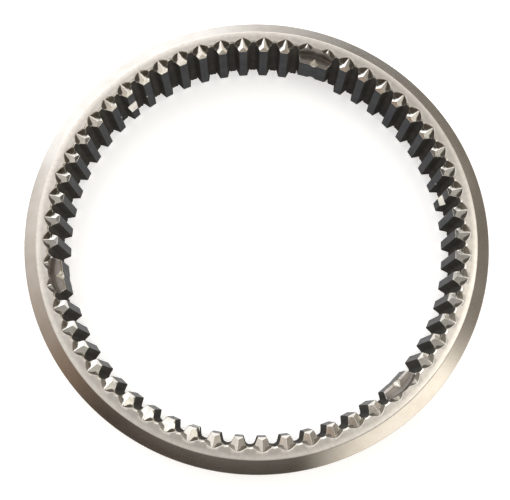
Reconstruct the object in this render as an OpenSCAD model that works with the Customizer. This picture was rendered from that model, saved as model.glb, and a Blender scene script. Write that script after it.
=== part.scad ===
// Sliding sleeve of a synchromesh gearbox: one steel ring with internal
// spline teeth that are pointed at both ends, three wide teeth with a pocket
// in each end, three notched detent teeth and a groove for the shift fork.

/* [Ring] */
// Diameter across the tooth tips, which the ring is built round
tip_d = 138; // [126:0.5:156]
// Radial height of the ring, from the tooth tips to the outside
ring_h = 12; // [10:0.1:21]
// Width of the ring along its axis
width = 22; // [21:0.5:32]
// Radial width of the chamfer between each end face and the outside
chamfer_w = 4.85; // [3:0.05:6]
// Height of the outer chamfer along the axis
chamfer_h = 2.6; // [1:0.1:3.5]

/* [Fork groove] */
// Width of the groove that the shift fork runs in
fork_w = 10; // [7:0.5:12]
// Depth of the fork groove below the outside diameter
fork_depth = 4.5; // [2:0.1:5]
// Fillet radius in the two corners of the groove floor
fork_fillet = 0.8; // [0.3:0.1:1.5]
// Edge break where the groove walls meet the outside
fork_edge = 0.5; // [0.2:0.1:0.8]

/* [Internal teeth] */
// Tooth pitches round the bore, three wide teeth included
teeth = 57; // [51, 57, 63]
// Radial height of the teeth
tooth_h = 3.1; // [2.6:0.1:3.4]
// Width of the flat land on a tooth tip
tip_land = 2.9; // [2.4:0.1:3.4]
// Angle of each flank to the middle line of its tooth space
flank_angle = 20; // [14:1:24]
// Fillet radius at the root of the tooth spaces
root_fillet = 1.6; // [0.5:0.1:1.8]
// Radial size of the chamfer on the tooth tips
tip_chamfer = 1.3; // [0.6:0.1:1.6]
// Length of that chamfer along the axis
tip_chamfer_h = 2; // [0.8:0.1:2.6]

/* [Tooth points] */
// Angle between the two facets of a pointed tooth end
point_angle = 110; // [100:1:124]
// How far past the roots the points run into the end face
point_reach = 1.8; // [1.2:0.1:2]
// How far each side of the pointed recess round a tooth end bows out
recess_bow = 0.5; // [0.2:0.05:0.7]
// How far inside the roots the recesses of two neighbouring tooth ends meet
recess_meet = 0.9; // [0.3:0.05:1.2]
// Angle of the recess wall to the axis of the ring
recess_taper = 18; // [8:1:26]
// Chamfer where the root of a tooth space meets the end face
rim_chamfer = 0.6; // [0.2:0.05:0.8]
// Fall of the ridge towards the tooth tip
ridge_slope = 3; // [1:0.5:8]
// Step from the end face down to the outer end of a ridge
ridge_step = 0.15; // [0.05:0.05:0.4]

/* [Wide teeth] */
// Radius of the scalloped pocket in each end of a wide tooth
pocket_r = 15; // [13:0.5:18]
// How far past the roots a pocket reaches
pocket_reach = 0.7; // [0.3:0.1:1]
// Depth of a pocket below the end face
pocket_depth = 5.4; // [4.5:0.1:6.5]
// Size of the sloped corner between pocket wall and pocket floor
pocket_corner = 0.8; // [0.3:0.1:1.2]
// Size of the chamfer between pocket floor and tip land
shelf_edge = 0.8; // [0.3:0.1:1.2]
// Diameter of the drilled dimple in the edge of a pocket floor
dimple_d = 3; // [2:0.1:3.4]
// Depth of the dimple below the tip land, its point included
dimple_depth = 2.5; // [2:0.1:2.8]
// Point angle of the drill that makes the dimple
dimple_angle = 80; // [70:1:118]
// Distance from the pocket floor down to the middle of the dimple
dimple_drop = 0.2; // [0:0.1:0.5]

/* [Detent notches] */
// Width of a notch along the tooth tip
notch_w = 6; // [4:0.5:8]
// Width of the flat at the bottom of a notch
notch_flat = 0.6; // [0.3:0.1:2]
// Depth of a notch below the tooth tip
notch_depth = 1.3; // [0.8:0.1:1.8]
// Radius of the sweep that a notch is cut with
notch_r = 14; // [10:0.5:18]

/* [Hidden] */
$fn = 180;

// Wide teeth round the ring, with a notched tooth half way between them
wide_teeth = 3;
// Direction of the middle of the first wide tooth
first_wide_tooth = 90;
// Steps in which a small fillet is drawn
arc_steps = 4;
// Facets of the drawn cone that cuts the recess of a tooth end
recess_facets = 40;
// Facets of the drawn cone that chamfers the root of a tooth space
rim_facets = 32;
// Depth that the root chamfer's cone goes on below the chamfer, inside the open space
rim_over = 0.4;
// Room between the cuts of neighbouring tooth ends, in the open tooth space
recess_room = 0.15;
// Least half width of the flat between the two fillets of a root
root_flat = 0.05;
// Share of the tooth pitch that the roof of a tooth end takes up to each side
roof_share = 0.55;
// Overlap of the cutting shapes past the faces they cut
over = 1;

tip_r = tip_d / 2;
outer_r = tip_r + ring_h;
face_r = outer_r - chamfer_w;
fork_r = outer_r - fork_depth;
fork_z0 = (width - fork_w) / 2;
fork_z1 = (width + fork_w) / 2;

pitch = 360 / teeth;
pitches_per_wide = teeth / wide_teeth;
root_r = tip_r + tooth_h;
tip_pitch = 2 * PI * tip_r / teeth;
space_tip = (tip_pitch - tip_land) / 2;

// Largest fillet that the narrowing tooth space has room for
root_half = space_tip - tooth_h * tan(flank_angle);
root_round = (root_half - root_flat) * cos(flank_angle) / (1 - sin(flank_angle));
fillet = min(root_fillet, root_round);
fillet_x = root_r - fillet;
fillet_y = space_half(fillet_x) - fillet / cos(flank_angle);
fillet_sweep = 90 - flank_angle;

point_r = root_r + point_reach;
recess_half = pitch / 2 - asin(recess_room / root_r);
recess_chord = polar(root_r - recess_meet, pitch / 2) - [point_r, 0];
recess_run = norm(recess_chord);
recess_r = (pow(recess_run / 2, 2) + pow(recess_bow, 2)) / (2 * recess_bow);
recess_in = [-recess_chord.y, recess_chord.x] / recess_run;
recess_axis = [point_r, 0] + recess_chord / 2 + (recess_r - recess_bow) * recess_in;
facet_fall = 90 - point_angle / 2;
roof_half = roof_share * tip_pitch;
roof_length = point_r - tip_r + over;
point_h = ridge_step + roof_half * tan(facet_fall) + roof_length * tan(ridge_slope);

pocket_axis = root_r + pocket_reach - pocket_r;
dimple_z = -pocket_depth - dimple_drop;
dimple_r = dimple_d / 2;
dimple_point = dimple_r / tan(dimple_angle / 2);
dimple_wall = dimple_depth - dimple_point;

notch_slope = notch_depth / ((notch_w - notch_flat) / 2);

// Half the width of a tooth space at radius x
function space_half(x) = space_tip - (x - tip_r) * tan(flank_angle);

function polar(r, a) = [r * cos(a), r * sin(a)];

function turned(p, a) = [p.x * cos(a) - p.y * sin(a), p.x * sin(a) + p.y * cos(a)];

// Points of an arc about c from angle a0 to a1
function arc(c, r, a0, a1, steps = arc_steps) = [
    for (k = [0 : steps]) c + polar(r, a0 + (a1 - a0) * k / steps)
];

function space_angle(i) = first_wide_tooth + i * pitch;

function tooth_angle(i) = space_angle(i + 0.5);

// Outline of one tooth space about the x axis, from inside the bore out to the root
space_outline = concat(
    [[tip_r - over, -space_half(tip_r - over)]],
    arc([fillet_x, -fillet_y], fillet, -fillet_sweep, 0),
    arc([fillet_x, fillet_y], fillet, 0, fillet_sweep),
    [[tip_r - over, space_half(tip_r - over)]]
);

// All tooth spaces as one outline round the bore, none inside a wide tooth
spline_outline = [
    for (i = [0 : teeth - 1])
        if (i % pitches_per_wide != 0)
            for (p = space_outline)
                turned(p, space_angle(i))
];

// Wedge of the ring that belongs to one tooth end
wedge_outline = [
    [0, 0],
    polar(point_r + over, -recess_half),
    polar(point_r + over, recess_half)
];

// Section of the turned ring, radius across and height up
ring_section = concat(
    [
        [tip_r + tip_chamfer, 0],
        [face_r, 0],
        [outer_r, chamfer_h],
        [outer_r, fork_z0 - fork_edge],
        [outer_r - fork_edge, fork_z0]
    ],
    arc([fork_r + fork_fillet, fork_z0 + fork_fillet], fork_fillet, 270, 180),
    arc([fork_r + fork_fillet, fork_z1 - fork_fillet], fork_fillet, 180, 90),
    [
        [outer_r - fork_edge, fork_z1],
        [outer_r, fork_z1 + fork_edge],
        [outer_r, width - chamfer_h],
        [face_r, width],
        [tip_r + tip_chamfer, width],
        [tip_r, width - tip_chamfer_h],
        [tip_r, tip_chamfer_h]
    ]
);

// Section of the cutter that makes a pocket, about its own axis
pocket_section = [
    [0, over],
    [pocket_r, over],
    [pocket_r, -pocket_depth + pocket_corner],
    [pocket_r - pocket_corner, -pocket_depth],
    [0, -pocket_depth]
];

// Section of the chamfer between pocket floor and tip land, about the ring's axis
shelf_section = [
    [tip_r - over, -pocket_depth + over],
    [tip_r - over, -pocket_depth - shelf_edge - over],
    [tip_r + shelf_edge + over, -pocket_depth + over]
];

// Section of the drill that makes a dimple, tip land at height 0
dimple_section = [
    [0, -2 * over],
    [dimple_r, -2 * over],
    [dimple_r, dimple_wall],
    [0, dimple_depth]
];

// Section of the cutter that makes a detent notch, about its own axis
notch_section = [
    [0, -notch_w / 2 - over],
    [notch_r - notch_depth - over * notch_slope, -notch_w / 2 - over],
    [notch_r, -notch_flat / 2],
    [notch_r, notch_flat / 2],
    [notch_r - notch_depth - over * notch_slope, notch_w / 2 + over],
    [0, notch_w / 2 + over]
];

// Section of the roof over a tooth end, ridge at the origin
roof_section = [
    [0, 0],
    [-roof_half, -roof_half * tan(facet_fall)],
    [-roof_half, -point_h - over],
    [roof_half, -point_h - over],
    [roof_half, -roof_half * tan(facet_fall)]
];

module turned_ring() {
    rotate_extrude() polygon(ring_section);
}

module tooth_spaces() {
    translate([0, 0, -over]) linear_extrude(width + 2 * over) polygon(spline_outline);
}

// Roof of one tooth end: its ridge runs inwards along x from the outer point
module tooth_roof() {
    translate([point_r, 0, -ridge_step])
        rotate([0, -ridge_slope, 0])
            translate([-roof_length - over, 0, 0])
                rotate([90, 0, 90]) linear_extrude(roof_length + 2 * over) polygon(roof_section);
}

// Cone whose wall is one side of the recess round a tooth end, side 1 or -1
module recess_cone(side) {
    translate([recess_axis.x, side * recess_axis.y, -point_h])
        cylinder(
            h = point_h + over,
            r1 = recess_r - point_h * tan(recess_taper),
            r2 = recess_r + over * tan(recess_taper),
            $fn = recess_facets
        );
}

module tooth_wedge() {
    translate([0, 0, -point_h - over]) linear_extrude(point_h + 3 * over) polygon(wedge_outline);
}

// What is cut away above one pointed tooth end, below an end face at z = 0
module point_cut() {
    difference() {
        intersection() {
            recess_cone(1);
            recess_cone(-1);
            tooth_wedge();
        }
        tooth_roof();
    }
}

// Chamfer round the root of one tooth space, below an end face at z = 0
module rim_cut() {
    translate([fillet_x, 0, -rim_chamfer - rim_over])
        cylinder(
            h = rim_chamfer + rim_over + over,
            r1 = fillet - rim_over,
            r2 = fillet + rim_chamfer + over,
            $fn = rim_facets
        );
}

// Dimple drilled outwards from the bore along x, at the edge of a pocket floor
module dimple() {
    translate([tip_r, 0, dimple_z]) rotate([0, 90, 0]) rotate_extrude() polygon(dimple_section);
}

// Pocket in the end of one wide tooth, below an end face at z = 0
module pocket_cut() {
    translate([pocket_axis, 0, 0]) rotate_extrude() polygon(pocket_section);
    rotate(-pitch) rotate_extrude(angle = 2 * pitch) polygon(shelf_section);
    dimple();
}

// What is cut below an end face at z = 0, put into both ends of the ring
module both_ends() {
    translate([0, 0, width]) children();
    mirror([0, 0, 1]) children();
}

module detent_notch() {
    translate([tip_r + notch_depth - notch_r, 0, width / 2]) rotate_extrude() polygon(notch_section);
}

// Turned ring with the chamfers of the roots, before the spaces are cut
module chamfered_ring() {
    difference() {
        turned_ring();
        both_ends()
            for (i = [0 : teeth - 1])
                if (i % pitches_per_wide != 0)
                    rotate(space_angle(i)) rim_cut();
    }
}

// The same ring with the recesses and facets of all tooth ends
module pointed_ring() {
    difference() {
        chamfered_ring();
        both_ends()
            for (i = [0 : teeth - 1])
                rotate(tooth_angle(i)) point_cut();
    }
}

module sliding_sleeve() {
    color("silver") difference() {
        pointed_ring();
        tooth_spaces();
        both_ends()
            for (k = [0 : wide_teeth - 1])
                rotate(space_angle(k * pitches_per_wide)) pocket_cut();
        for (k = [0 : wide_teeth - 1])
            rotate(space_angle((k + 0.5) * pitches_per_wide)) detent_notch();
    }
}

sliding_sleeve();
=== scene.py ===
"""Gearbox sliding sleeve: the dressed part, its studio and the camera."""

import logging
import math
from collections.abc import Callable
from dataclasses import dataclass, field
from enum import Enum

import bmesh
import bpy
from mathutils import Matrix, Vector
from mathutils.geometry import delaunay_2d_cdt


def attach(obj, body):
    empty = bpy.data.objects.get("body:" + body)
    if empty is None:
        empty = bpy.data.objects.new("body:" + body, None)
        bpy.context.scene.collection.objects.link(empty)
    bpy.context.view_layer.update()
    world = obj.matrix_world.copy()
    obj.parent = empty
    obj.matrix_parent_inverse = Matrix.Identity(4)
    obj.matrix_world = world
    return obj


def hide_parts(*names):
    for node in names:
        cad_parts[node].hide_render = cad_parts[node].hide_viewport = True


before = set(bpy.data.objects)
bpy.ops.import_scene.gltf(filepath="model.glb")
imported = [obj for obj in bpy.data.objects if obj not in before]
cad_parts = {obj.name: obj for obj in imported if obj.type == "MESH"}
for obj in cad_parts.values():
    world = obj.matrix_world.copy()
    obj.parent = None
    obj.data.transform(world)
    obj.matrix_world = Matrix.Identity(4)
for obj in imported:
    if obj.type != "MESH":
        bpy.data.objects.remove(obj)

LOG = logging.getLogger("sliding_sleeve")
NODE = "sliding_sleeve"
BODY = "root"

MM = 0.001
TINY = 1e-6

Colour = tuple[float, float, float]
Place = tuple[float, float, float]
Point = tuple[float, float]
Span = tuple[float, float]
Values = tuple[float, ...]
Measure = Callable[[Point], float]
Socket = bpy.types.NodeSocket
Source = float | str | Values | bpy.types.ID | Socket
Inputs = dict[str | int, Source]
Outline = list[Point]


def placed(name: str, data: bpy.types.ID) -> bpy.types.Object:
    """New object in the scene.

    Args:
        name: Name of the object.
        data: Its mesh, lamp or camera.

    Returns:
        The object.
    """
    piece = bpy.data.objects.new(name, data)
    bpy.context.scene.collection.objects.link(piece)
    return piece


def plain_mesh(piece: bpy.types.Object) -> bpy.types.Mesh:
    """Mesh of an object with its modifiers applied.

    Args:
        piece: The object.

    Returns:
        The new mesh.
    """
    graph = bpy.context.evaluated_depsgraph_get()
    done = piece.evaluated_get(graph)
    return bpy.data.meshes.new_from_object(done, preserve_all_data_layers=True, depsgraph=graph)


@dataclass
class NodeSheet:
    """A node tree while it is being filled in."""

    tree: bpy.types.NodeTree

    def feed(self, socket: Socket, source: Source) -> None:
        """Link a socket to another one, or set its value.

        Args:
            socket: Input of a node.
            source: Output of another node, or a value.
        """
        if isinstance(source, Socket):
            self.tree.links.new(source, socket)
        else:
            socket.default_value = source

    def fill(self, node: bpy.types.Node, inputs: Inputs) -> None:
        """Feed several inputs of a node."""
        for key, source in inputs.items():
            self.feed(node.inputs[key], source)

    def add(self, kind: str, inputs: Inputs | None = None, **settings: str) -> bpy.types.Node:
        """Add a node.

        Args:
            kind: Blender's name for the type of node.
            inputs: What its inputs are fed with.
            settings: Choices of the node itself.

        Returns:
            The node.
        """
        node = self.tree.nodes.new(kind)
        for key, value in settings.items():
            setattr(node, key, value)
        self.fill(node, inputs or {})
        return node

    def calc(self, operation: str, *sources: Source) -> Socket:
        """Result of a sum on sockets or numbers."""
        return self.add("ShaderNodeMath", dict(enumerate(sources)), operation=operation).outputs[0]

    def ranged(self, value: Socket, start: Span, end: Span = (0.0, 1.0)) -> Socket:
        """Value carried over from one span to another and held at its ends."""
        ends = dict(zip(("From Min", "From Max", "To Min", "To Max"), (*start, *end)))
        return self.add("ShaderNodeMapRange", {"Value": value} | ends).outputs[0]

    def mixed(self, a: Source, b: Source, share: Socket) -> Socket:
        """Blend of two colours."""
        inputs = {"Factor": share, "A": a, "B": b}
        return self.add("ShaderNodeMix", inputs, data_type="RGBA").outputs["Result"]

    def noise(self, place: Socket, scale: float, detail: float) -> Socket:
        """Cloudy noise at a place."""
        inputs = {"Vector": place, "Scale": scale, "Detail": detail}
        return self.add("ShaderNodeTexNoise", inputs).outputs["Fac"]

    def object_axes(self) -> tuple[Socket, tuple[Socket, ...]]:
        """Place on the piece, whole and as its three values."""
        place = self.add("ShaderNodeTexCoord").outputs["Object"]
        return place, tuple(self.add("ShaderNodeSeparateXYZ", {0: place}).outputs)


class Grain(Enum):
    """Direction of the tool marks on a finish."""

    TURNED = "turned"
    BROACHED = "broached"
    MILLED = "milled"


class Zone(Enum):
    """Surfaces of the sleeve that have a finish of their own."""

    END_FACE = 0
    CHAMFER = 1
    OUTSIDE = 2
    FACET = 3
    RECESS = 4
    RIM = 5
    FLANK = 6
    LAND = 7
    POCKET_WALL = 8
    POCKET_FLOOR = 9
    NOTCH = 10


@dataclass(frozen=True)
class SteelFinish:
    """Procedural finish of one zone of the sleeve."""

    name: str
    colour: Colour
    stain: Colour
    roughness: float = 0.3
    metallic: float = 1.0
    grain: Grain = Grain.MILLED
    grain_scale: float = 5000.0
    grain_depth: float = 0.05
    stain_scale: float = 260.0
    edge_tint: float = 1.0
    gloss: float = 0.5
    # Painted shade: a turned face's colour is scaled down towards the bore, to painted_inner_shade at
    # the inner end of painted_shade_span (radius in metres).
    painted_inner_shade: float = 1.0
    painted_shade_span: Span = (0.0742, 0.0756)
    along_grain: float = 0.02
    grain_detail: float = 4.0
    stain_detail: float = 5.0
    stain_span: Span = (0.4, 0.66)
    grain_span: Span = (0.3, 0.7)
    rough_span: Span = (0.88, 1.14)
    bump_height: float = 0.00002

    def material(self) -> bpy.types.Material:
        """Build the node material of this finish.

        Returns:
            The new material.
        """
        mat = bpy.data.materials.new(self.name)
        mat.use_nodes = True
        sheet = NodeSheet(mat.node_tree)
        place, (x, y, z) = sheet.object_axes()
        fine, coarse = self.grain_scale, self.grain_scale * self.along_grain
        cloud = sheet.noise(place, self.stain_scale, self.stain_detail)
        stained = sheet.ranged(cloud, self.stain_span)
        colour = sheet.mixed((*self.colour, 1.0), (*self.stain, 1.0), stained)
        if self.grain is Grain.TURNED:
            flat = sheet.add("ShaderNodeCombineXYZ", {"X": x, "Y": y}).outputs[0]
            radius = sheet.add("ShaderNodeVectorMath", {0: flat}, operation="LENGTH").outputs["Value"]
            # Painted shade: the colour darkens towards the bore over the span of radius.
            painted_shade = sheet.ranged(radius, self.painted_shade_span, (self.painted_inner_shade, 1.0))
            tone = {0: colour, "Scale": painted_shade}
            colour = sheet.add("ShaderNodeVectorMath", tone, operation="SCALE").outputs[0]
            axes = ((radius, fine), (x, coarse), (y, coarse))
        elif self.grain is Grain.BROACHED:
            axes = ((x, fine), (y, fine), (z, coarse))
        else:
            axes = ((x, fine), (y, fine), (z, fine))
        scaled = {axis: sheet.calc("MULTIPLY", *pair) for axis, pair in zip("XYZ", axes)}
        marks = sheet.noise(sheet.add("ShaderNodeCombineXYZ", scaled).outputs[0], 1.0, self.grain_detail)
        relief = {"Strength": self.grain_depth, "Distance": self.bump_height, "Height": marks}
        low, high = (self.roughness * share for share in self.rough_span)
        inputs = {
            "Base Color": colour,
            "Metallic": self.metallic,
            "Roughness": sheet.ranged(marks, self.grain_span, (low, high)),
            "Specular IOR Level": self.gloss,
            "Specular Tint": (self.edge_tint, self.edge_tint, self.edge_tint, 1.0),
            "Normal": sheet.add("ShaderNodeBump", relief).outputs[0],
        }
        sheet.fill(mat.node_tree.nodes["Principled BSDF"], inputs)
        return mat


FINISHES: dict[Zone, SteelFinish] = {
    Zone.END_FACE: SteelFinish(
        "ground_end_face",
        colour=(0.665, 0.63, 0.585),
        stain=(0.6, 0.565, 0.52),
        roughness=0.33,
        grain=Grain.TURNED,
        grain_depth=0.12,
        stain_scale=650.0,
        # The end face is painted darker towards the bore: painted shade.
        painted_inner_shade=0.7,
    ),
    Zone.CHAMFER: SteelFinish(
        "turned_chamfer",
        colour=(0.492, 0.468, 0.438),
        stain=(0.455, 0.428, 0.396),
        roughness=0.16,
        grain=Grain.TURNED,
        grain_scale=6000.0,
        grain_depth=0.04,
        stain_scale=140.0,
    ),
    Zone.OUTSIDE: SteelFinish(
        "turned_outside",
        colour=(0.5, 0.48, 0.455),
        stain=(0.42, 0.4, 0.375),
        grain=Grain.BROACHED,
        grain_scale=3000.0,
        grain_depth=0.15,
    ),
    Zone.FACET: SteelFinish(
        "milled_tooth_point", colour=(0.74, 0.725, 0.695), stain=(0.61, 0.595, 0.56), roughness=0.15
    ),
    # The recess walls and the strips beside the bore's rounded edges get a near-black colour: painted
    # shade for the shadow that falls in the recesses.
    Zone.RECESS: SteelFinish("dark_recess_wall", colour=(0.135, 0.12, 0.1), stain=(0.1, 0.086, 0.07)),
    Zone.RIM: SteelFinish(
        "worn_rim", colour=(0.66, 0.63, 0.58), stain=(0.56, 0.53, 0.48), roughness=0.26
    ),
    Zone.FLANK: SteelFinish(
        "dark_broached_flank",
        colour=(0.07, 0.067, 0.062),
        stain=(0.088, 0.084, 0.077),
        roughness=0.42,
        metallic=0.15,
        grain=Grain.BROACHED,
        grain_scale=2500.0,
        grain_depth=0.2,
        edge_tint=0.42,
        gloss=0.0,
    ),
    Zone.LAND: SteelFinish(
        "dark_tip_land",
        colour=(0.035, 0.037, 0.042),
        stain=(0.05, 0.051, 0.053),
        roughness=0.4,
        grain=Grain.BROACHED,
        grain_scale=2500.0,
        grain_depth=0.2,
        edge_tint=0.78,
    ),
    Zone.POCKET_WALL: SteelFinish(
        "milled_pocket_wall", colour=(0.4, 0.367, 0.335), stain=(0.3, 0.272, 0.245), grain_scale=4000.0
    ),
    Zone.POCKET_FLOOR: SteelFinish(
        "milled_pocket_floor", colour=(0.2, 0.182, 0.166), stain=(0.14, 0.126, 0.114), grain_scale=4000.0
    ),
    Zone.NOTCH: SteelFinish(
        "milled_notch", colour=(0.78, 0.75, 0.69), stain=(0.62, 0.59, 0.53), grain_scale=4000.0
    ),
}


class Kind(Enum):
    """Slices of the ring that repeat round its axis."""

    PLAIN = "Plain tooth"
    WIDE = "Wide tooth"
    NOTCHED = "Notched tooth"
    BEFORE_NOTCH = "Tooth before a notch"
    AFTER_NOTCH = "Tooth after a notch"


def rounded_max(a: float, b: float, k: float) -> float:
    """Larger of two depths, eased into each other over a depth of k."""
    ease = max(k - abs(a - b), 0.0) / k
    return max(a, b) + ease * ease * k / 4


def turned(point: Point, angle: float) -> Point:
    """Point turned about the ring's axis."""
    c, s = math.cos(angle), math.sin(angle)
    return point[0] * c - point[1] * s, point[0] * s + point[1] * c


def blended(a: Point, b: Point, share: float) -> Point:
    """Point at a share of the way from a to b."""
    return a[0] + (b[0] - a[0]) * share, a[1] + (b[1] - a[1]) * share


def is_inside(point: Point, loop: Outline) -> bool:
    """Whether a point lies inside a closed loop.

    Args:
        point: The point.
        loop: Corners of the loop in order.

    Returns:
        True inside, False outside.
    """
    inside = False
    for a, b in zip(loop, loop[1:] + loop[:1]):
        if (a[1] > point[1]) != (b[1] > point[1]):
            if point[0] < a[0] + (b[0] - a[0]) * (point[1] - a[1]) / (b[1] - a[1]):
                inside = not inside
    return inside


def room(point: Point, loop: Outline) -> float:
    """Distance from a point to the nearest side of a loop.

    Args:
        point: The point.
        loop: Corners of the loop in order.

    Returns:
        The distance.
    """
    best = math.inf
    for a, b in zip(loop, loop[1:] + loop[:1]):
        run = (b[0] - a[0], b[1] - a[1])
        length = run[0] ** 2 + run[1] ** 2 or 1.0
        t = ((point[0] - a[0]) * run[0] + (point[1] - a[1]) * run[1]) / length
        near = blended(a, b, min(max(t, 0.0), 1.0))
        best = min(best, math.dist(point, near))
    return best


def crossing(value: Callable[[float], float], low: float, high: float, rounds: int = 40) -> float:
    """Place at which a rising value passes zero.

    Args:
        value: The value at a place.
        low: Where it is still below zero.
        high: Where it is above zero.
        rounds: How often the stretch is halved.

    Returns:
        The place.
    """
    for _ in range(rounds):
        middle = (low + high) / 2
        low, high = (low, middle) if value(middle) > 0 else (middle, high)
    return (low + high) / 2


@dataclass(frozen=True)
class Run:
    """Evenly spaced values."""

    start: float
    step: float
    count: int

    def values(self) -> list[float]:
        """The values in order."""
        return [self.start + self.step * k for k in range(self.count)]


@dataclass(frozen=True)
class SleeveSizes:
    """Sizes of the sleeve in millimetres and degrees, as in the CAD source."""

    teeth: int = 57
    wide_teeth: int = 3
    width: float = 22.0
    tip_r: float = 69.0
    root_r: float = 72.1
    tip_land: float = 2.9
    flank_angle: float = 20.0
    fillet: float = 1.6
    tip_chamfer: float = 1.3
    tip_chamfer_h: float = 2.0
    facet_fall: float = 35.0
    point_r: float = 73.9
    ridge_slope: float = 3.0
    ridge_step: float = 0.15
    recess_bow: float = 0.5
    recess_meet: float = 0.9
    recess_taper: float = 18.0
    rim_chamfer: float = 0.6
    pocket_r: float = 15.0
    pocket_axis: float = 57.8
    pocket_depth: float = 5.4
    pocket_corner: float = 0.8
    shelf_edge: float = 0.8
    dimple_r: float = 1.5
    dimple_depth: float = 2.5
    dimple_wall: float = 0.712
    dimple_z: float = 5.6
    notch_axis: float = 56.3
    notch_r: float = 14.0
    notch_flat: float = 0.6
    notch_slope: float = 0.4815
    face_r: float = 76.15
    outer_r: float = 81.0
    chamfer_h: float = 2.6
    fork_w: float = 10.0
    fork_depth: float = 4.5
    fork_fillet: float = 0.8
    fork_edge: float = 0.5

    @property
    def pitch(self) -> float:
        """Angle of one tooth pitch in radians."""
        return 2 * math.pi / self.teeth

    @property
    def fillet_centre(self) -> Point:
        """Centre of a root fillet, from the middle line of its space."""
        x = self.root_r - self.fillet
        return x, self.space_half(x) - self.fillet / math.cos(math.radians(self.flank_angle))

    def space_half(self, x: float) -> float:
        """Half the width of a tooth space at radius x."""
        at_tip = (2 * math.pi * self.tip_r / self.teeth - self.tip_land) / 2
        return at_tip - (x - self.tip_r) * math.tan(math.radians(self.flank_angle))

    def recess_circle(self) -> tuple[Point, float]:
        """Centre and radius of one side of a recess in the end face.

        Returns:
            The centre, which lies past the middle of the tooth, and the radius.
        """
        end = turned((self.root_r - self.recess_meet, 0.0), self.pitch / 2)
        chord = (end[0] - self.point_r, end[1])
        run = math.hypot(*chord)
        radius = ((run / 2) ** 2 + self.recess_bow**2) / (2 * self.recess_bow)
        back = (radius - self.recess_bow) / run
        centre = (self.point_r + chord[0] / 2 - chord[1] * back, chord[1] / 2 + chord[0] * back)
        return centre, radius


@dataclass(frozen=True)
class SliceLayout:
    """Where the rows of faces of a slice run, in millimetres, radians and shares."""

    turns_per_pitch: int = 8
    relief_r: float = 74.6
    side_r: Span = (73.4, 74.0)
    least_room: float = 0.05
    plan_weld: float = 1e-4
    corner_search: float = 1.0
    foot_search: float = 0.2
    tip_search: float = 0.5
    split_room: float = 0.02
    least_cosine: float = 0.6
    land_gap: float = 0.02
    floor_gap: float = 1e-5
    levels: Values = (14.0, 12.6, 11.59, 11.3, 10.7, 10.41, 9.4, 8.0)
    edge_steps: tuple[Span, ...] = ((0.45, 0.08), (0.85, 0.42))
    land_shares: Values = (0.0, 0.5)
    wide_land_shares: Values = (0.0, 0.4, 0.75, 0.95, 1.01, 1.6, 2.4)
    flank_shares: Values = (0.35, 0.7)
    fillet_steps: int = 6
    ridge_across: Values = (-0.08, -0.04, 0.0, 0.04, 0.08)
    ridge_along: Run = Run(69.35, 0.6, 8)
    lip_shares: Values = (1.0, 0.5, 0.0, -0.5, -1.0)
    lip_turns: Run = Run(0.03, 0.0567, 13)
    foot_across: Run = Run(0.2, 0.2, 16)
    tip_across: Run = Run(-1.4, 0.14, 21)
    rim_offset: float = 0.15
    rim_turns: Run = Run(0.0, 0.16, 6)
    pocket_margin: float = 0.02
    pocket_turns: Run = Run(-0.5, 0.0125, 81)
    shelf_offset: float = 0.1
    shelf_turns: Run = Run(-0.09, 0.01, 19)
    dimple_across: Values = (-1.02, -0.99, -0.85, -0.5, 0.0, 0.5, 0.85, 0.99, 1.02)
    dimple_along: Values = (69.35, 69.55, 69.712, 69.95, 70.2, 70.5, 70.8, 71.1, 71.3, 71.5)
    dimple_rim: float = 1.015
    corner_shares: Values = (0.0, 0.33, 0.67, 1.0)
    corner_reach: float = 0.48


@dataclass
class Shell:
    """Points and faces of a slice while it is being made."""

    points: list[Place] = field(default_factory=list)
    faces: list[tuple[int, ...]] = field(default_factory=list)
    zones: list[Zone] = field(default_factory=list)

    def grid(self, columns: list[list[Place]], zone: Callable[[int, int], Zone]) -> None:
        """Add four-sided faces between columns of points.

        Args:
            columns: The columns, all with the same number of points.
            zone: Zone of the face after a column and a row.
        """
        rows = len(columns[0])
        base = len(self.points)
        self.points += [point for column in columns for point in column]
        for c in range(len(columns) - 1):
            for r in range(rows - 1):
                corner = base + c * rows + r
                self.faces.append((corner, corner + 1, corner + rows + 1, corner + rows))
                self.zones.append(zone(c, r))

    def mesh(self, name: str) -> bpy.types.Mesh:
        """Make the mesh.

        Args:
            name: Name of the mesh.

        Returns:
            The mesh in metres, with the zone of each face as an attribute.
        """
        mesh = bpy.data.meshes.new(name)
        mesh.from_pydata([(x * MM, y * MM, z * MM) for x, y, z in self.points], [], self.faces)
        marked = mesh.attributes.new("zone", "INT", "FACE")
        marked.data.foreach_set("value", [zone.value for zone in self.zones])
        return mesh


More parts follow.
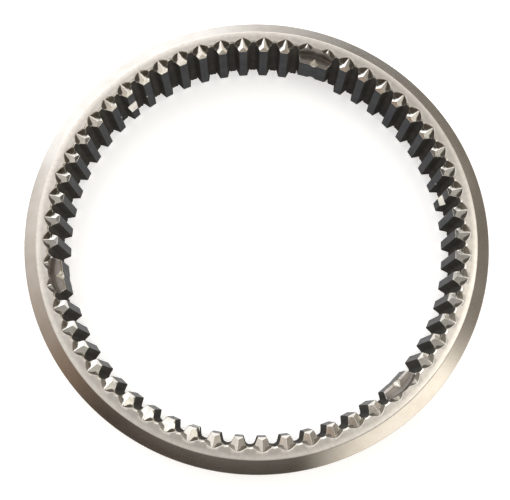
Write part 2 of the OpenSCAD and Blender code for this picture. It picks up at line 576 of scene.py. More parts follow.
@dataclass
class RingSlice:
    """One slice of the ring: a tooth with its two ends, or a wide tooth, and the outside behind it."""

    kind: Kind
    sizes: SleeveSizes
    layout: SliceLayout = SliceLayout()
    edge: float = 0.17
    ridge_ease: float = 0.11
    lip_ease: float = 0.5
    rim_ease: float = 0.16
    shelf_ease: float = 0.1
    pocket_lean: float = 0.05
    face_edge: float = 0.22
    chamfer_edge: float = 0.3
    groove_edge: float = 0.15
    wide: bool = field(init=False)
    half: float = field(init=False)
    steps: int = field(init=False)
    tooth_turns: tuple[float, ...] = field(init=False)
    notch_turn: float | None = field(init=False)
    recess_centre: Point = field(init=False)
    recess_r: float = field(init=False)

    def __post_init__(self) -> None:
        """Lay out the teeth and spaces of the slice."""
        pitch = self.sizes.pitch
        turns = {Kind.NOTCHED: 0.0, Kind.BEFORE_NOTCH: pitch, Kind.AFTER_NOTCH: -pitch}
        self.wide = self.kind is Kind.WIDE
        self.half = pitch if self.wide else pitch / 2
        self.steps = self.layout.turns_per_pitch * (2 if self.wide else 1)
        self.tooth_turns = (-pitch / 2, pitch / 2) if self.wide else (0.0,)
        self.notch_turn = turns.get(self.kind)
        self.recess_centre, self.recess_r = self.sizes.recess_circle()

    def roof(self, u: float, v: float) -> float:
        """Depth of the two facets of a tooth end.

        Args:
            u: Place along the tooth.
            v: Place across it.

        Returns:
            The depth.
        """
        s = self.sizes
        side = v * math.tan(math.radians(s.facet_fall))
        along = (s.point_r - u) * math.tan(math.radians(s.ridge_slope))
        return s.ridge_step + along + rounded_max(side, -side, self.ridge_ease)

    def wall(self, u: float, v: float) -> float:
        """Depth of the recess wall round a tooth end."""
        reach = math.hypot(u - self.recess_centre[0], abs(v) - self.recess_centre[1])
        return (self.recess_r - reach) / math.tan(math.radians(self.sizes.recess_taper))

    def foot(self, u: float, v: float) -> float:
        """Height of a facet above the recess wall, zero where they meet."""
        return self.roof(u, v) - rounded_max(0.0, self.wall(u, v), self.lip_ease)

    def recess(self, point: Point) -> tuple[float, float]:
        """Depths of the facets and of the recess wall of the nearest tooth.

        Args:
            point: Place in the plan of the slice.

        Returns:
            Depth of the roof and depth of the wall.
        """
        angle = math.atan2(point[1], point[0])
        turn = min(self.tooth_turns, key=lambda t: abs(t - angle))
        u, v = turned(point, -turn)
        return self.roof(u, v), self.wall(u, v)

    def tip(self, point: Point) -> float:
        """Depth of the chamfer on the tooth tips."""
        s = self.sizes
        return (s.tip_r + s.tip_chamfer - math.hypot(*point)) * s.tip_chamfer_h / s.tip_chamfer

    def rim(self, point: Point) -> float:
        """Depth of the chamfer round the root of the nearest tooth space.

        Args:
            point: Place in the plan of the slice.

        Returns:
            The depth, negative outside the chamfer.
        """
        s = self.sizes
        x, y = turned(point, -math.copysign(self.half, point[1]))
        off = max(abs(y) - s.fillet_centre[1], 0.0)
        return s.fillet + s.rim_chamfer - math.hypot(x - s.fillet_centre[0], off)

    def drill_half(self, x: float) -> float:
        """Half the width of the drilled dimple at radius x."""
        s = self.sizes
        return s.dimple_r * min(1.0, (s.tip_r + s.dimple_depth - x) / (s.dimple_depth - s.dimple_wall))

    def pocket_reach(self, point: Point) -> float:
        """Distance of a place from the axis of the pocket of a wide tooth."""
        return math.hypot(point[0] - self.sizes.pocket_axis, point[1])

    def pocket(self, point: Point) -> float:
        """Depth of the pocket of a wide tooth, its sloped corner, shelf edge and dimple included.

        Args:
            point: Place in the plan of the slice.

        Returns:
            The depth, negative outside the pocket.
        """
        s = self.sizes
        reach = self.pocket_reach(point)
        wall_foot = s.pocket_r - self.pocket_lean
        at_foot = s.pocket_depth - s.pocket_corner
        if reach > wall_foot:
            return at_foot * (s.pocket_r - reach) / self.pocket_lean
        depth = min(s.pocket_depth, at_foot + wall_foot - reach)
        shelf = s.pocket_depth + s.tip_r + s.shelf_edge - math.hypot(*point)
        depth = rounded_max(depth, shelf, self.shelf_ease)
        drill = self.drill_half(point[0])
        if abs(point[1]) < drill:
            depth = max(depth, s.dimple_z + math.sqrt(drill**2 - point[1] ** 2))
        return depth

    def depth(self, point: Point) -> float:
        """Depth of the finished end below the end face.

        Args:
            point: Place in the plan of the slice.

        Returns:
            The depth in millimetres.
        """
        roof, wall = self.recess(point)
        depth = min(roof, rounded_max(0.0, wall, self.lip_ease))
        depth = rounded_max(max(depth, self.tip(point)), self.rim(point), self.rim_ease)
        return max(depth, self.pocket(point)) if self.wide else depth

    def zone_at(self, point: Point) -> Zone:
        """Zone of the end that a place in the plan belongs to.

        Args:
            point: Place in the plan of the slice.

        Returns:
            The zone.
        """
        s = self.sizes
        roof, wall = self.recess(point)
        cuts = {Zone.RIM: self.rim(point), Zone.FACET: max(self.tip(point), min(roof, wall))}
        if self.wide and self.pocket(point) > max(0.0, *cuts.values()):
            if abs(point[1]) < self.layout.dimple_rim * self.drill_half(point[0]):
                return Zone.NOTCH
            on_wall = self.pocket_reach(point) > s.pocket_r - self.pocket_lean
            on_shelf = math.hypot(*point) < s.tip_r + s.shelf_edge
            return Zone.POCKET_WALL if on_wall or on_shelf else Zone.POCKET_FLOOR
        zone = max(cuts, key=lambda z: cuts[z])
        lip = self.lip_ease / 2
        if cuts[zone] < 0.0:
            return Zone.RIM if zone is Zone.FACET and abs(wall) < lip else Zone.END_FACE
        if zone is Zone.FACET and max(wall, self.tip(point)) < min(lip, roof):
            return Zone.RIM
        if zone is Zone.FACET and self.tip(point) < rounded_max(0.0, wall, self.lip_ease) < roof:
            return Zone.RECESS
        return zone

    def bore_line(self) -> Outline:
        """Outline of the slice along the bore, from one space's middle to the other's.

        Returns:
            The points, symmetric about the x axis.
        """
        s, lay = self.sizes, self.layout
        near, far = s.tip_r - lay.corner_search, s.tip_r + lay.corner_search
        tip_x = crossing(lambda x: math.hypot(x, s.space_half(x)) - s.tip_r, near, far)
        corner = turned((tip_x, -s.space_half(tip_x)), self.half)
        reach = math.atan2(corner[1], corner[0])
        if self.wide:
            dimple = [s.dimple_r * share for share in lay.wide_land_shares]
            land = [(math.sqrt(s.tip_r**2 - y * y), y) for y in dimple]
        else:
            land = [turned((s.tip_r, 0.0), reach * share) for share in lay.land_shares]
        flank = [blended(corner, self.flank_foot(), share) for share in lay.flank_shares]
        arc = [self.fillet_point(k / lay.fillet_steps) for k in range(lay.fillet_steps, -1, -1)]
        side = land + [corner] + flank + arc + [turned((s.root_r, 0.0), self.half)]
        return [(x, -y) for x, y in reversed(side[1:])] + side

    def fillet_point(self, share: float) -> Point:
        """Place on the root fillet.

        Args:
            share: Share of the way from its crown to the foot of the flank.

        Returns:
            The place in the plan.
        """
        s = self.sizes
        turn = math.radians(90 - s.flank_angle) * share
        x, y = s.fillet_centre
        return turned((x + s.fillet * math.cos(turn), -y - s.fillet * math.sin(turn)), self.half)

    def flank_foot(self) -> Point:
        """Place where the flank runs into the root fillet."""
        return self.fillet_point(1.0)

    def edge_lines(self) -> tuple[Outline, Outline]:
        """Bore line and the line a rounded edge inside it, point for point.

        Returns:
            The bore line and the inner line.
        """
        line = self.bore_line()
        inner = []
        for k, p in enumerate(line):
            if k in (0, len(line) - 1):
                grow = 1 + self.edge / math.hypot(*p)
                inner.append((p[0] * grow, p[1] * grow))
                continue
            a, b = line[k - 1], line[k + 1]
            before = math.atan2(p[1] - a[1], p[0] - a[0])
            after = math.atan2(b[1] - p[1], b[0] - p[0])
            bend = (after - before + math.pi) % (2 * math.pi) - math.pi
            normal = before + bend / 2 - math.pi / 2
            step = self.edge / max(math.cos(bend / 2), self.layout.least_cosine)
            inner.append((p[0] + math.cos(normal) * step, p[1] + math.sin(normal) * step))
        for mark in self.marks():
            line, inner = self.split(line, inner, mark)
        return line, inner

    def marks(self) -> list[Measure]:
        """Values that pass zero where an edge of the end comes out at the bore.

        Returns:
            The values, each a function of a place in the plan.
        """
        marks: list[Measure] = [
            lambda p: self.recess(p)[0] - self.tip(p),
            lambda p: self.recess(p)[0] - self.recess(p)[1],
            lambda p: self.rim(p) - min(self.recess(p)),
        ]
        if self.wide:
            marks.append(lambda p: self.pocket_reach(p) - self.sizes.pocket_r)
            marks.append(lambda p: self.pocket_reach(p) - self.sizes.pocket_r + self.pocket_lean)
        return marks

    def split(self, line: Outline, inner: Outline, mark: Measure) -> tuple[Outline, Outline]:
        """Add points to the bore line where a value passes zero.

        Args:
            line: Bore line.
            inner: Line inside it, on which the value is read.
            mark: The value.

        Returns:
            Both lines with the added points.
        """
        out_line, out_inner = line[:1], inner[:1]
        for k in range(1, len(line)):
            sign = 1 if mark(inner[k]) > 0 else -1
            if sign * mark(inner[k - 1]) < 0:
                share = crossing(lambda t: sign * mark(blended(inner[k - 1], inner[k], t)), 0.0, 1.0)
                if self.layout.split_room < share < 1 - self.layout.split_room:
                    out_line.append(blended(line[k - 1], line[k], share))
                    out_inner.append(blended(inner[k - 1], inner[k], share))
            out_line.append(line[k])
            out_inner.append(inner[k])
        return out_line, out_inner

    def tooth_rows(self) -> list[Outline]:
        """Lines along the edges of one tooth end, with lines beside them that round the edges.

        Returns:
            Rows of points about the tooth's own middle line.
        """
        s, lay = self.sizes, self.layout
        rows = [[(u, v) for u in lay.ridge_along.values()] for v in lay.ridge_across]
        first = math.asin(-self.recess_centre[1] / self.recess_r) + lay.lip_turns.start
        turns = Run(first, lay.lip_turns.step, lay.lip_turns.count).values()
        lip = self.lip_ease * math.tan(math.radians(s.recess_taper))
        past_point = s.point_r + lay.foot_search
        for side in (-1, 1):
            x, y = self.recess_centre[0], side * self.recess_centre[1]
            for share in lay.lip_shares:
                radius = self.recess_r + lip * share
                rows.append([(x + radius * math.cos(t), y + side * radius * math.sin(t)) for t in turns])
            across = lay.foot_across.values()
            meets = [crossing(lambda u: self.foot(u, v), s.tip_r, past_point) for v in across]
            rows.append([(u, side * v) for u, v in zip(meets, across)])
        near, far = s.tip_r - lay.tip_search, s.root_r
        across = lay.tip_across.values()
        meets = [crossing(lambda u: self.roof(u, v) - self.tip((u, v)), near, far) for v in across]
        rows.append(list(zip(meets, across)))
        return rows

    def pocket_rows(self) -> list[Outline]:
        """Lines along the edges of the pocket of a wide tooth, its shelf edge and its dimple.

        Returns:
            Rows of points in the plan of the slice.
        """
        s, lay = self.sizes, self.layout
        rows = []
        wall_foot = s.pocket_r - self.pocket_lean
        floor_edge = s.pocket_r - s.pocket_corner - self.pocket_lean
        for radius in (s.pocket_r + lay.pocket_margin, s.pocket_r, wall_foot, floor_edge):
            turns = lay.pocket_turns.values()
            rows.append([(s.pocket_axis + radius * math.cos(t), radius * math.sin(t)) for t in turns])
        for off in (-lay.shelf_offset, 0.0, lay.shelf_offset):
            radius = s.tip_r + s.shelf_edge + off
            rows.append([turned((radius, 0.0), t) for t in lay.shelf_turns.values()])
        for share in lay.dimple_across:
            rows.append([(x, share * self.drill_half(x)) for x in lay.dimple_along])
        return rows

    def rows(self) -> list[Outline]:
        """All lines that the faces of one end follow.

        Returns:
            Rows of points in the plan of the slice.
        """
        s, lay = self.sizes, self.layout
        rows = [[turned(p, t) for p in row] for t in self.tooth_turns for row in self.tooth_rows()]
        for side in (-1, 1):
            for off in (lay.rim_offset, 0.0, -lay.rim_offset):
                radius = s.fillet + s.rim_chamfer + off
                turns = lay.rim_turns.values()
                x = s.fillet_centre[0]
                rim = [(x + radius * math.cos(t), -side * radius * math.sin(t)) for t in turns]
                rows.append([turned(p, side * self.half) for p in rim])
        return rows + self.pocket_rows() if self.wide else rows

    def relief(self, inner: Outline) -> tuple[Outline, list[tuple[int, ...]]]:
        """Plan mesh of one end between the bore and the plain ring.

        Args:
            inner: Line that the rounded edge of the bore ends in.

        Returns:
            Points and faces of the plan.
        """
        s, lay = self.sizes, self.layout
        rim = s.fillet_centre[0] + s.fillet + s.rim_chamfer
        radii = (rim - lay.rim_offset, rim, rim + lay.rim_offset, *lay.side_r)
        side = [turned((r, 0.0), self.half) for r in radii]
        turns = [self.half * (1 - 2 * k / self.steps) for k in range(self.steps + 1)]
        outer = [turned((lay.relief_r, 0.0), turn) for turn in turns]
        loop = inner + side + outer + [(x, -y) for x, y in reversed(side)]
        points = list(loop)
        edges = [(k, (k + 1) % len(loop)) for k in range(len(loop))]
        for row in self.rows():
            last = -1
            for p in row:
                if is_inside(p, loop) and room(p, loop) > lay.least_room:
                    points.append(p)
                    if last >= 0:
                        edges.append((last, len(points) - 1))
                    last = len(points) - 1
                else:
                    last = -1
        plan = delaunay_2d_cdt([Vector(p) for p in points], edges, [], 1, lay.plan_weld)
        return [(p.x, p.y) for p in plan[0]], [tuple(f) for f in plan[2]]

    def notched(self, line: Outline, z: float) -> Outline:
        """Bore line at a height, moved out to the floor of a detent notch.

        Args:
            line: Bore line without the notch.
            z: Height of the section.

        Returns:
            The line, point for point.
        """
        if self.notch_turn is None:
            return line
        tip_r = self.sizes.tip_r
        moved = list(line)
        land = [k for k, p in enumerate(line) if abs(math.hypot(*p) - tip_r) < TINY]
        for corner, step in ((land[0], -1), (land[-1], 1)):
            start = line[corner]
            if self.in_notch(start, z) <= 0:
                continue
            foot = self.flank_foot() if step > 0 else (self.flank_foot()[0], -self.flank_foot()[1])
            share = crossing(lambda t: -self.in_notch(blended(start, foot, t), z), 0.0, 1.0)
            moved[corner] = blended(start, foot, share)
            k = corner + step
            while math.dist(line[k], start) < math.dist(foot, start) - TINY:
                part = math.dist(line[k], start) / math.dist(foot, start)
                moved[k] = blended(moved[corner], foot, part)
                k += step
            if self.kind is not Kind.NOTCHED:
                reach = math.atan2(start[1], start[0])
                turn = crossing(lambda t: self.in_notch(turned((tip_r, 0.0), t * reach), z), 0.0, 1.0)
                moved[corner - step] = turned((tip_r, 0.0), turn * reach)
        if self.kind is Kind.NOTCHED and self.in_notch(line[land[0]], z) > 0:
            narrow = moved[land[0]][1] / line[land[0]][1]
            for k in land[1:-1]:
                v = line[k][1] * narrow
                moved[k] = (self.sizes.notch_axis + math.sqrt(self.notch_radius(z) ** 2 - v * v), v)
        return moved

    def is_cut(self, places: list[Place]) -> bool:
        """Whether places of the bore lie on the floor of a notch.

        Args:
            places: The places. Beside a notch all of them have to lie on its floor.

        Returns:
            True on the floor.
        """
        if self.notch_turn is None:
            return False
        on_floor = [abs(self.in_notch((x, y), z)) < self.layout.floor_gap for x, y, z in places]
        return any(on_floor) if self.kind is Kind.NOTCHED else all(on_floor)

    def notch_radius(self, z: float) -> float:
        """Radius of the cutter of a detent notch at a height."""
        s = self.sizes
        return s.notch_r - s.notch_slope * max(0.0, abs(z - s.width / 2) - s.notch_flat / 2)

    def in_notch(self, point: Point, z: float) -> float:
        """Depth of a place in the cutter of a detent notch, negative outside it."""
        u, v = turned(point, -self.notch_turn)
        return self.notch_radius(z) - math.hypot(u - self.sizes.notch_axis, v)

    def ring_profile(self) -> list[tuple[float, float, Zone]]:
        """Section of the outside of the ring, with its edges broken.

        Returns:
            Radius, height and the zone of the stretch that follows, from the upper end to the lower one.
        """
        s, lay = self.sizes, self.layout
        groove = s.outer_r - s.fork_depth
        top = (s.width + s.fork_w) / 2
        corners = [
            (s.face_r, s.width, self.face_edge),
            (s.outer_r, s.width - s.chamfer_h, self.chamfer_edge),
            (s.outer_r, top + s.fork_edge, self.groove_edge),
            (s.outer_r - s.fork_edge, top, self.groove_edge),
            (groove, top, s.fork_fillet),
        ]
        zones = [Zone.END_FACE, Zone.CHAMFER] + [Zone.OUTSIDE] * (len(corners) - 1)
        path = [(lay.relief_r, s.width)] + [(r, z) for r, z, _ in corners] + [(groove, s.width / 2)]
        upper: list[tuple[float, float, Zone]] = [(*path[0], zones[0])]
        for k, (r, z, size) in enumerate(corners):
            ends = []
            for other in (path[k], path[k + 2]):
                run = math.dist(other, (r, z))
                ends.append(blended((r, z), other, min(size / run, lay.corner_reach)))
            for t in lay.corner_shares:
                a, b = blended(ends[0], (r, z), t), blended((r, z), ends[1], t)
                upper.append((*blended(a, b, t), zones[k + 1] if t > 0.5 else zones[k]))
        lower = [(r, s.width - z, zone) for r, z, zone in reversed(upper)]
        shifted = [(*lower[k][:2], lower[min(k + 1, len(lower) - 1)][2]) for k in range(len(lower))]
        return upper + shifted

    def add_ends(self, shell: Shell, inner: Outline) -> None:
        """Add the two ends of the slice.

        Args:
            shell: Where the faces go.
            inner: Line that the rounded edge of the bore ends in.
        """
        width = self.sizes.width
        plan, tiles = self.relief(inner)
        heights = [width - self.depth(p) for p in plan]
        corners = [[plan[i] for i in tile] for tile in tiles]
        middles = [tuple(sum(axis) / len(axis) for axis in zip(*places)) for places in corners]
        tile_zones = [self.zone_at(middle) for middle in middles]
        for flip in (False, True):
            base = len(shell.points)
            shell.points += [(x, y, width - z if flip else z) for (x, y), z in zip(plan, heights)]
            shell.faces += [tuple(base + i for i in (reversed(t) if flip else t)) for t in tiles]
            shell.zones += tile_zones

    def add_bore(self, shell: Shell, line: Outline, inner: Outline) -> None:
        """Add the wall of the bore with its rounded edges and its notch.

        Args:
            shell: Where the faces go.
            line: Bore line.
            inner: Line that the rounded edge ends in.
        """
        s, lay = self.sizes, self.layout
        columns = []
        sections = [self.notched(line, level) for level in lay.levels]
        for k, (p, q) in enumerate(zip(line, inner)):
            z = s.width - self.depth(q)
            rounding = [
                (*blended(q, p, across), z - down * self.edge) for across, down in lay.edge_steps
            ]
            top = [(*q, z), *rounding, (*p, z - self.edge)]
            middle = [(*section[k], level) for section, level in zip(sections, lay.levels)]
            columns.append(top + middle + [(x, y, s.width - h) for x, y, h in reversed(top)])
        last = len(columns[0]) - 2

        def zone(c: int, r: int) -> Zone:
            """Zone of one face of the wall.

            Args:
                c: Column before the face.
                r: Row above it.

            Returns:
                The zone.
            """
            if r in (0, last):
                return Zone.RIM
            # The strips next to the rounded bore edge take the recess finish, whose dark colour is
            # painted shade.
            if r in (1, last - 1):
                return Zone.RECESS
            if any(abs(math.hypot(*line[k]) - s.tip_r) >= lay.land_gap for k in (c, c + 1)):
                return Zone.FLANK
            cut = all(self.is_cut(columns[k][r : r + 2]) for k in (c, c + 1))
            return Zone.NOTCH if cut else Zone.LAND

        shell.grid(columns, zone)

    def add_outside(self, shell: Shell) -> None:
        """Add the turned outside of the ring.

        Args:
            shell: Where the faces go.
        """
        profile = self.ring_profile()
        turns = [self.half * (2 * k / self.steps - 1) for k in range(self.steps + 1)]
        columns = [[(*turned((r, 0.0), turn), z) for r, z, _ in profile] for turn in turns]
        shell.grid(columns, lambda _, r: profile[r][2])

    def mesh(self) -> bpy.types.Mesh:
        """Make the mesh of the slice, open at its two sides.

        Returns:
            The mesh.
        """
        shell = Shell()
        line, inner = self.edge_lines()
        self.add_ends(shell, inner)
        self.add_bore(shell, line, inner)
        self.add_outside(shell)
        return shell.mesh(self.kind.name.lower())


@dataclass
class Sleeve:
    """The steel ring: slices of it, repeated round the axis by a rule."""

    sizes: SleeveSizes
    first_wide_tooth: float = 90.0
    weld: float = 2e-6
    crease: float = 33.0

    def choices(
        self, sheet: NodeSheet, index: Socket, given: bpy.types.NodeOutputs
    ) -> dict[Kind, Socket]:
        """Choose the kind of slice at each pitch; a wide tooth takes up two of them.

        Args:
            sheet: Where the nodes go.
            index: Number of the pitch.
            given: Inputs of the rule.

        Returns:
            For each kind of slice, whether it stands at the pitch.
        """
        per_wide = sheet.calc("DIVIDE", given["Teeth"], given["Wide teeth"])
        half = sheet.calc("DIVIDE", sheet.calc("SUBTRACT", per_wide, 1.0), 2.0)
        from_notch = sheet.calc("SUBTRACT", sheet.calc("MODULO", index, per_wide), half)
        away = sheet.calc("ABSOLUTE", from_notch)
        past_notch = sheet.calc("GREATER_THAN", away, 1.5)
        before_wide = sheet.calc("LESS_THAN", away, sheet.calc("SUBTRACT", half, 0.5))
        return {
            Kind.PLAIN: sheet.calc("MULTIPLY", past_notch, before_wide),
            Kind.WIDE: sheet.calc("LESS_THAN", from_notch, sheet.calc("SUBTRACT", 0.5, half)),
            Kind.NOTCHED: sheet.calc("LESS_THAN", away, 0.5),
            Kind.BEFORE_NOTCH: sheet.calc("COMPARE", from_notch, -1.0),
            Kind.AFTER_NOTCH: sheet.calc("COMPARE", from_notch, 1.0),
        }

    def ring_rule(self, finishes: dict[Zone, bpy.types.Material]) -> bpy.types.NodeTree:
        """Build the node tree that sets the slices round the axis and gives each zone its finish.

        Args:
            finishes: Material of each zone.

        Returns:
            The geometry node tree.
        """
        tree = bpy.data.node_groups.new("ring_of_slices", "GeometryNodeTree")
        tree.interface.new_socket("Geometry", in_out="OUTPUT", socket_type="NodeSocketGeometry")
        kinds = {kind.value: "Object" for kind in Kind}
        numbers = {"Teeth": "Int", "Wide teeth": "Int"}
        numbers |= {"First wide tooth": "Float", "Weld distance": "Float"}
        for name, type_name in (kinds | numbers).items():
            tree.interface.new_socket(name, in_out="INPUT", socket_type="NodeSocket" + type_name)
        sheet = NodeSheet(tree)
        given = sheet.add("NodeGroupInput").outputs
        pitches = {"Count": given["Teeth"], "Offset": (0.0, 0.0, 0.0)}
        line = sheet.add("GeometryNodeMeshLine", pitches).outputs["Mesh"]
        index = sheet.add("GeometryNodeInputIndex").outputs[0]
        pitch = sheet.calc("DIVIDE", 2 * math.pi, given["Teeth"])
        join = sheet.add("GeometryNodeJoinGeometry")
        for kind, choice in self.choices(sheet, index, given).items():
            step = index if kind is Kind.WIDE else sheet.calc("ADD", index, 0.5)
            turn = sheet.calc("ADD", given["First wide tooth"], sheet.calc("MULTIPLY", step, pitch))
            euler = sheet.add("ShaderNodeCombineXYZ", {"Z": turn}).outputs[0]
            source = sheet.add("GeometryNodeObjectInfo", {"Object": given[kind.value]})
            copies = {
                "Points": line,
                "Selection": choice,
                "Instance": source.outputs["Geometry"],
                "Rotation": sheet.add("FunctionNodeEulerToRotation", {0: euler}).outputs[0],
            }
            sheet.feed(join.inputs[0], sheet.add("GeometryNodeInstanceOnPoints", copies).outputs[0])
        real = sheet.add("GeometryNodeRealizeInstances", {0: join.outputs[0]}).outputs[0]
        weld = {"Geometry": real, "Distance": given["Weld distance"]}
        ring = sheet.add("GeometryNodeMergeByDistance", weld).outputs[0]
        zone = sheet.add("GeometryNodeInputNamedAttribute", {"Name": "zone"}, data_type="INT").outputs[0]
        for key, material in finishes.items():
            here = sheet.calc("COMPARE", zone, float(key.value))
            coat = {"Geometry": ring, "Selection": here, "Material": material}
            ring = sheet.add("GeometryNodeSetMaterial", coat).outputs[0]
        sheet.add("NodeGroupOutput", {0: ring})
        return tree

    def ring_mesh(self) -> bpy.types.Mesh:
        """Repeat the slices round the axis.

        Returns:
            The ring as a plain mesh.
        """
        slices = {kind: placed(kind.name.lower(), RingSlice(kind, self.sizes).mesh()) for kind in Kind}
        rule = self.ring_rule({zone: FINISHES[zone].material() for zone in Zone})
        carrier = placed("ring_rule", bpy.data.meshes.new("ring_rule"))
        modifier = carrier.modifiers.new("ring", "NODES")
        modifier.node_group = rule
        values = {kind.value: piece for kind, piece in slices.items()}
        values |= {"Teeth": self.sizes.teeth, "Wide teeth": self.sizes.wide_teeth}
        values |= {"First wide tooth": math.radians(self.first_wide_tooth), "Weld distance": self.weld}
        for item in rule.interface.items_tree:
            if item.name in values:
                modifier[item.identifier] = values[item.name]
        mesh = plain_mesh(carrier)
        for spare in (carrier, *slices.values()):
            bpy.data.objects.remove(spare)
        return mesh

    def smooth(self, mesh: bpy.types.Mesh) -> None:
        """Close the joins between the slices and mark the sharp edges.

        Args:
            mesh: Mesh of the ring, which is changed.
        """
        work = bmesh.new()
        work.from_mesh(mesh)
        bmesh.ops.remove_doubles(work, verts=work.verts, dist=self.weld)
        bmesh.ops.recalc_face_normals(work, faces=work.faces)
        for face in work.faces:
            face.smooth = True
        for edge in work.edges:
            edge.smooth = edge.calc_face_angle(0.0) < math.radians(self.crease)
        work.to_mesh(mesh)
        work.free()

    def build(self) -> bpy.types.Object:
        """Make the ring, riding on the part's body.

        Returns:
            The finished object.
        """
        mesh = self.ring_mesh()
        self.smooth(mesh)
        piece = placed("sleeve", mesh)
        shading = piece.modifiers.new("flat_faces", "WEIGHTED_NORMAL")
        shading.keep_sharp = True
        piece.data = plain_mesh(piece)
        piece.modifiers.clear()
        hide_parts(NODE)
        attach(piece, BODY)
        return piece


@dataclass(frozen=True)
class Panel:
    """One stretch of the studio's surround, by the direction it stands in."""

    azimuth: float
    colour: Colour
    strength: float


@dataclass(frozen=True)
class Belt:
    """One belt of the surround, which takes over from the belt below it between two heights."""

    start: Span
    panels: tuple[Panel, ...]

    def tone(self, sheet: NodeSheet, share: Socket) -> Socket:
        """Colours of the belt round the part.

        Args:
            sheet: Where the nodes go.
            share: Share of a turn.

        Returns:
            The colour there.
        """
        ramp = sheet.add("ShaderNodeValToRGB", {0: share})
        stops = ramp.color_ramp.elements
        while len(stops) > 1:
            stops.remove(stops[-1])
        for index, panel in enumerate(self.panels):
            stop = stops[0] if index == 0 else stops.new(panel.azimuth / 360)
            stop.position = panel.azimuth / 360
            stop.color = (*(panel.strength * c for c in panel.colour), 1.0)
        stops.new(1.0).color = stops[0].color
        return ramp.outputs[0]


LOW_BELT = Belt(
    (0.0, 0.0),
    (
        Panel(0, (1.0, 0.93, 0.82), 0.9),
        Panel(6, (1.0, 0.9, 0.78), 0.45),
        Panel(20, (1.0, 0.9, 0.78), 0.4),
        Panel(35, (1.0, 0.9, 0.76), 0.25),
        Panel(60, (1.0, 0.9, 0.78), 0.28),
        Panel(85, (1.0, 0.97, 0.92), 0.38),
        Panel(105, (1.0, 0.98, 0.96), 1.1),
        Panel(120, (0.98, 0.99, 1.0), 2.2),
        Panel(160, (0.98, 0.99, 1.0), 2.2),
        Panel(174, (1.0, 0.97, 0.94), 0.7),
        Panel(190, (1.0, 0.94, 0.88), 0.45),
        Panel(205, (1.0, 0.89, 0.79), 0.7),
        Panel(222, (1.0, 0.74, 0.56), 0.6),
        Panel(240, (1.0, 0.74, 0.56), 0.5),
        Panel(302, (1.0, 0.88, 0.76), 0.5),
        Panel(320, (1.0, 0.95, 0.84), 1.2),
        Panel(350, (1.0, 0.95, 0.84), 1.5),
    ),
)
MIDDLE_BELT = Belt(
    (0.19, 0.3),
    (
        Panel(0, (1.0, 0.93, 0.82), 0.9),
        Panel(6, (1.0, 0.9, 0.78), 0.48),
        Panel(20, (1.0, 0.9, 0.78), 0.4),
        Panel(35, (1.0, 0.9, 0.76), 0.36),
        Panel(60, (1.0, 0.9, 0.78), 1.1),
        Panel(85, (1.0, 0.97, 0.92), 1.8),
        Panel(105, (1.0, 0.98, 0.96), 2.2),
        Panel(120, (0.98, 0.99, 1.0), 2.3),
        Panel(160, (0.98, 0.99, 1.0), 2.3),
        Panel(174, (1.0, 0.97, 0.94), 1.7),
        Panel(190, (1.0, 0.94, 0.88), 1.15),
        Panel(205, (1.0, 0.89, 0.79), 0.8),
        Panel(222, (1.0, 0.74, 0.56), 0.42),
        Panel(240, (1.0, 0.72, 0.53), 0.08),
        Panel(302, (1.0, 0.82, 0.66), 0.08),
        Panel(320, (1.0, 0.95, 0.84), 1.85),
        Panel(350, (1.0, 0.95, 0.84), 2.3),
    ),
)
HIGH_BELT = Belt(
    (0.665, 0.7),
    (
        Panel(0, (1.0, 0.95, 0.86), 0.7),
        *MIDDLE_BELT.panels[1:11],
        Panel(205, (1.0, 0.92, 0.84), 0.9),
        Panel(222, (1.0, 0.93, 0.85), 0.8),
        Panel(245, (1.0, 0.95, 0.88), 0.8),
        Panel(265, (1.0, 0.95, 0.88), 0.5),
        Panel(290, (1.0, 0.96, 0.88), 0.42),
        Panel(345, (1.0, 0.97, 0.88), 0.45),
    ),
)


@dataclass(frozen=True)
class Softbox:
    """One square soft lamp that looks at the part."""

    name: str
    place: Place
    size: Span
    colour: Colour
    brightness: float

    def build(self) -> bpy.types.Object:
        """Make the lamp.

        Returns:
            The lamp object.
        """
        lamp = bpy.data.lights.new(self.name, "AREA")
        lamp.shape = "RECTANGLE"
        lamp.size, lamp.size_y = self.size
        lamp.color = self.colour
        lamp.energy = self.brightness * math.pi * self.size[0] * self.size[1]
        piece = placed(self.name, lamp)
        piece.location = self.place
        piece.rotation_euler = Vector(self.place).to_track_quat("Z", "Y").to_euler()
        return piece


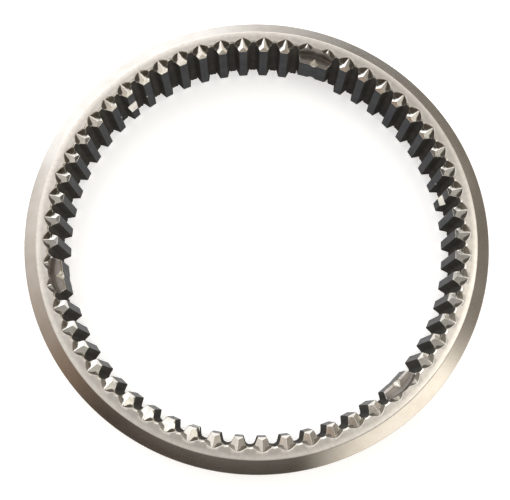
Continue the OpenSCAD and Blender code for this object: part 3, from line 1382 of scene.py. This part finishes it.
@dataclass
class Studio:
    """Floor, surround, world and lamps."""

    floor_half: float = 6.0
    floor_colour: Colour = (0.9, 0.9, 0.9)
    floor_roughness: float = 0.9
    floor_glow: float = 0.5
    surround_r: float = 1.2
    surround_z: Span = (0.0, 1.2)
    surround_sides: int = 180
    belts: tuple[Belt, ...] = (LOW_BELT, MIDDLE_BELT, HIGH_BELT)
    ceiling_colour: Colour = (1.0, 0.98, 0.95)
    ceiling_strength: float = 0.62
    softboxes: tuple[Softbox, ...] = (
        Softbox("left_softbox", (-0.45, 0.35, 1.4), (0.9, 0.7), (1.0, 0.98, 0.97), 1.1),
        Softbox("right_softbox", (0.5, 0.3, 1.4), (0.5, 0.7), (1.0, 0.96, 0.88), 2.2),
    )

    def floor(self) -> bpy.types.Object:
        """Pale floor under the part.

        Returns:
            The floor object.
        """
        mat = bpy.data.materials.new("pale_floor")
        mat.use_nodes = True
        sheet = NodeSheet(mat.node_tree)
        rays = sheet.add("ShaderNodeLightPath").outputs
        seen = sheet.calc("MAXIMUM", rays["Is Camera Ray"], rays["Is Glossy Ray"])
        seen = sheet.calc("MAXIMUM", seen, rays["Is Transmission Ray"])
        inputs = {
            "Base Color": (*self.floor_colour, 1.0),
            "Roughness": self.floor_roughness,
            "Specular IOR Level": 0.0,
            "Emission Color": (1.0, 1.0, 1.0, 1.0),
            "Emission Strength": sheet.calc("MULTIPLY", seen, self.floor_glow),
        }
        sheet.fill(mat.node_tree.nodes["Principled BSDF"], inputs)
        h = self.floor_half
        mesh = bpy.data.meshes.new("floor")
        mesh.from_pydata([(-h, -h, 0), (h, -h, 0), (h, h, 0), (-h, h, 0)], [], [(0, 1, 2, 3)])
        mesh.materials.append(mat)
        piece = placed("floor", mesh)
        return piece

    def surround_light(self) -> bpy.types.Material:
        """Light of the surround, belt over belt.

        Returns:
            The material.
        """
        mat = bpy.data.materials.new("studio_surround")
        mat.use_nodes = True
        mat.node_tree.nodes.clear()
        sheet = NodeSheet(mat.node_tree)
        _, (x, y, z) = sheet.object_axes()
        angle = sheet.calc("ARCTAN2", y, x)
        share = sheet.calc("FRACT", sheet.calc("MULTIPLY_ADD", angle, 1 / (2 * math.pi), 1.0))
        colour = self.belts[0].tone(sheet, share)
        for belt in self.belts[1:]:
            colour = sheet.mixed(colour, belt.tone(sheet, share), sheet.ranged(z, belt.start))
        light = sheet.add("ShaderNodeEmission", {"Color": colour, "Strength": 1.0}).outputs[0]
        sheet.add("ShaderNodeOutputMaterial", {"Surface": light})
        return mat

    def surround(self) -> bpy.types.Object:
        """Curved wall that the steel reflects.

        Returns:
            The wall object, which the camera doesn't see.
        """
        count = self.surround_sides
        turn = [2 * math.pi * k / count for k in range(count)]
        ring = [(self.surround_r * math.cos(a), self.surround_r * math.sin(a)) for a in turn]
        points = [(*corner, z) for z in self.surround_z for corner in ring]
        faces = [(k, k + count, (k + 1) % count + count, (k + 1) % count) for k in range(count)]
        mesh = bpy.data.meshes.new("surround")
        mesh.from_pydata(points, [], faces)
        mesh.materials.append(self.surround_light())
        wall = placed("surround", mesh)
        wall.visible_camera = False
        return wall

    def world(self) -> None:
        """Pale ceiling light from all sides."""
        world = bpy.data.worlds.new("studio")
        world.use_nodes = True
        back = world.node_tree.nodes["Background"]
        back.inputs["Color"].default_value = (*self.ceiling_colour, 1.0)
        back.inputs["Strength"].default_value = self.ceiling_strength
        bpy.context.scene.world = world

    def build(self) -> list[bpy.types.Object]:
        """Make the whole studio.

        Returns:
            The floor, the surround and the lamps.
        """
        self.world()
        return [self.floor(), self.surround(), *(softbox.build() for softbox in self.softboxes)]


@dataclass
class View:
    """Camera at the photograph's angle."""

    location: Place = (0.015326, -0.059280, 0.251540)
    turn: tuple[Place, ...] = (
        (0.95236, -0.2991, 0.05953),
        (0.30476, 0.92622, -0.22189),
        (0.01123, 0.22946, 0.97325),
    )
    focal_px: float = 687.2465
    image_px: float = 510.0
    sensor: float = 36.0
    clip: Span = (0.01, 100.0)

    def build(self) -> bpy.types.Object:
        """Make the camera and set it as the scene's own.

        Returns:
            The camera object.
        """
        data = bpy.data.cameras.new("camera")
        data.sensor_width = self.sensor
        data.lens = self.focal_px / self.image_px * self.sensor
        data.clip_start, data.clip_end = self.clip
        camera = placed("camera", data)
        camera.matrix_world = Matrix.Translation(Vector(self.location)) @ Matrix(self.turn).to_4x4()
        bpy.context.scene.camera = camera
        return camera


def main() -> None:
    """Build the camera, the studio and the sleeve."""
    logging.basicConfig(level=logging.INFO)
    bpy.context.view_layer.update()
    bpy.context.scene.view_settings.view_transform = "Standard"
    for piece in (View().build(), *Studio().build()):
        LOG.info("%s: %s", piece.name, piece.type.lower())
    sleeve = Sleeve(SleeveSizes()).build()
    LOG.info("%s: %d faces", sleeve.name, len(sleeve.data.polygons))


if __name__ == "__main__":
    main()
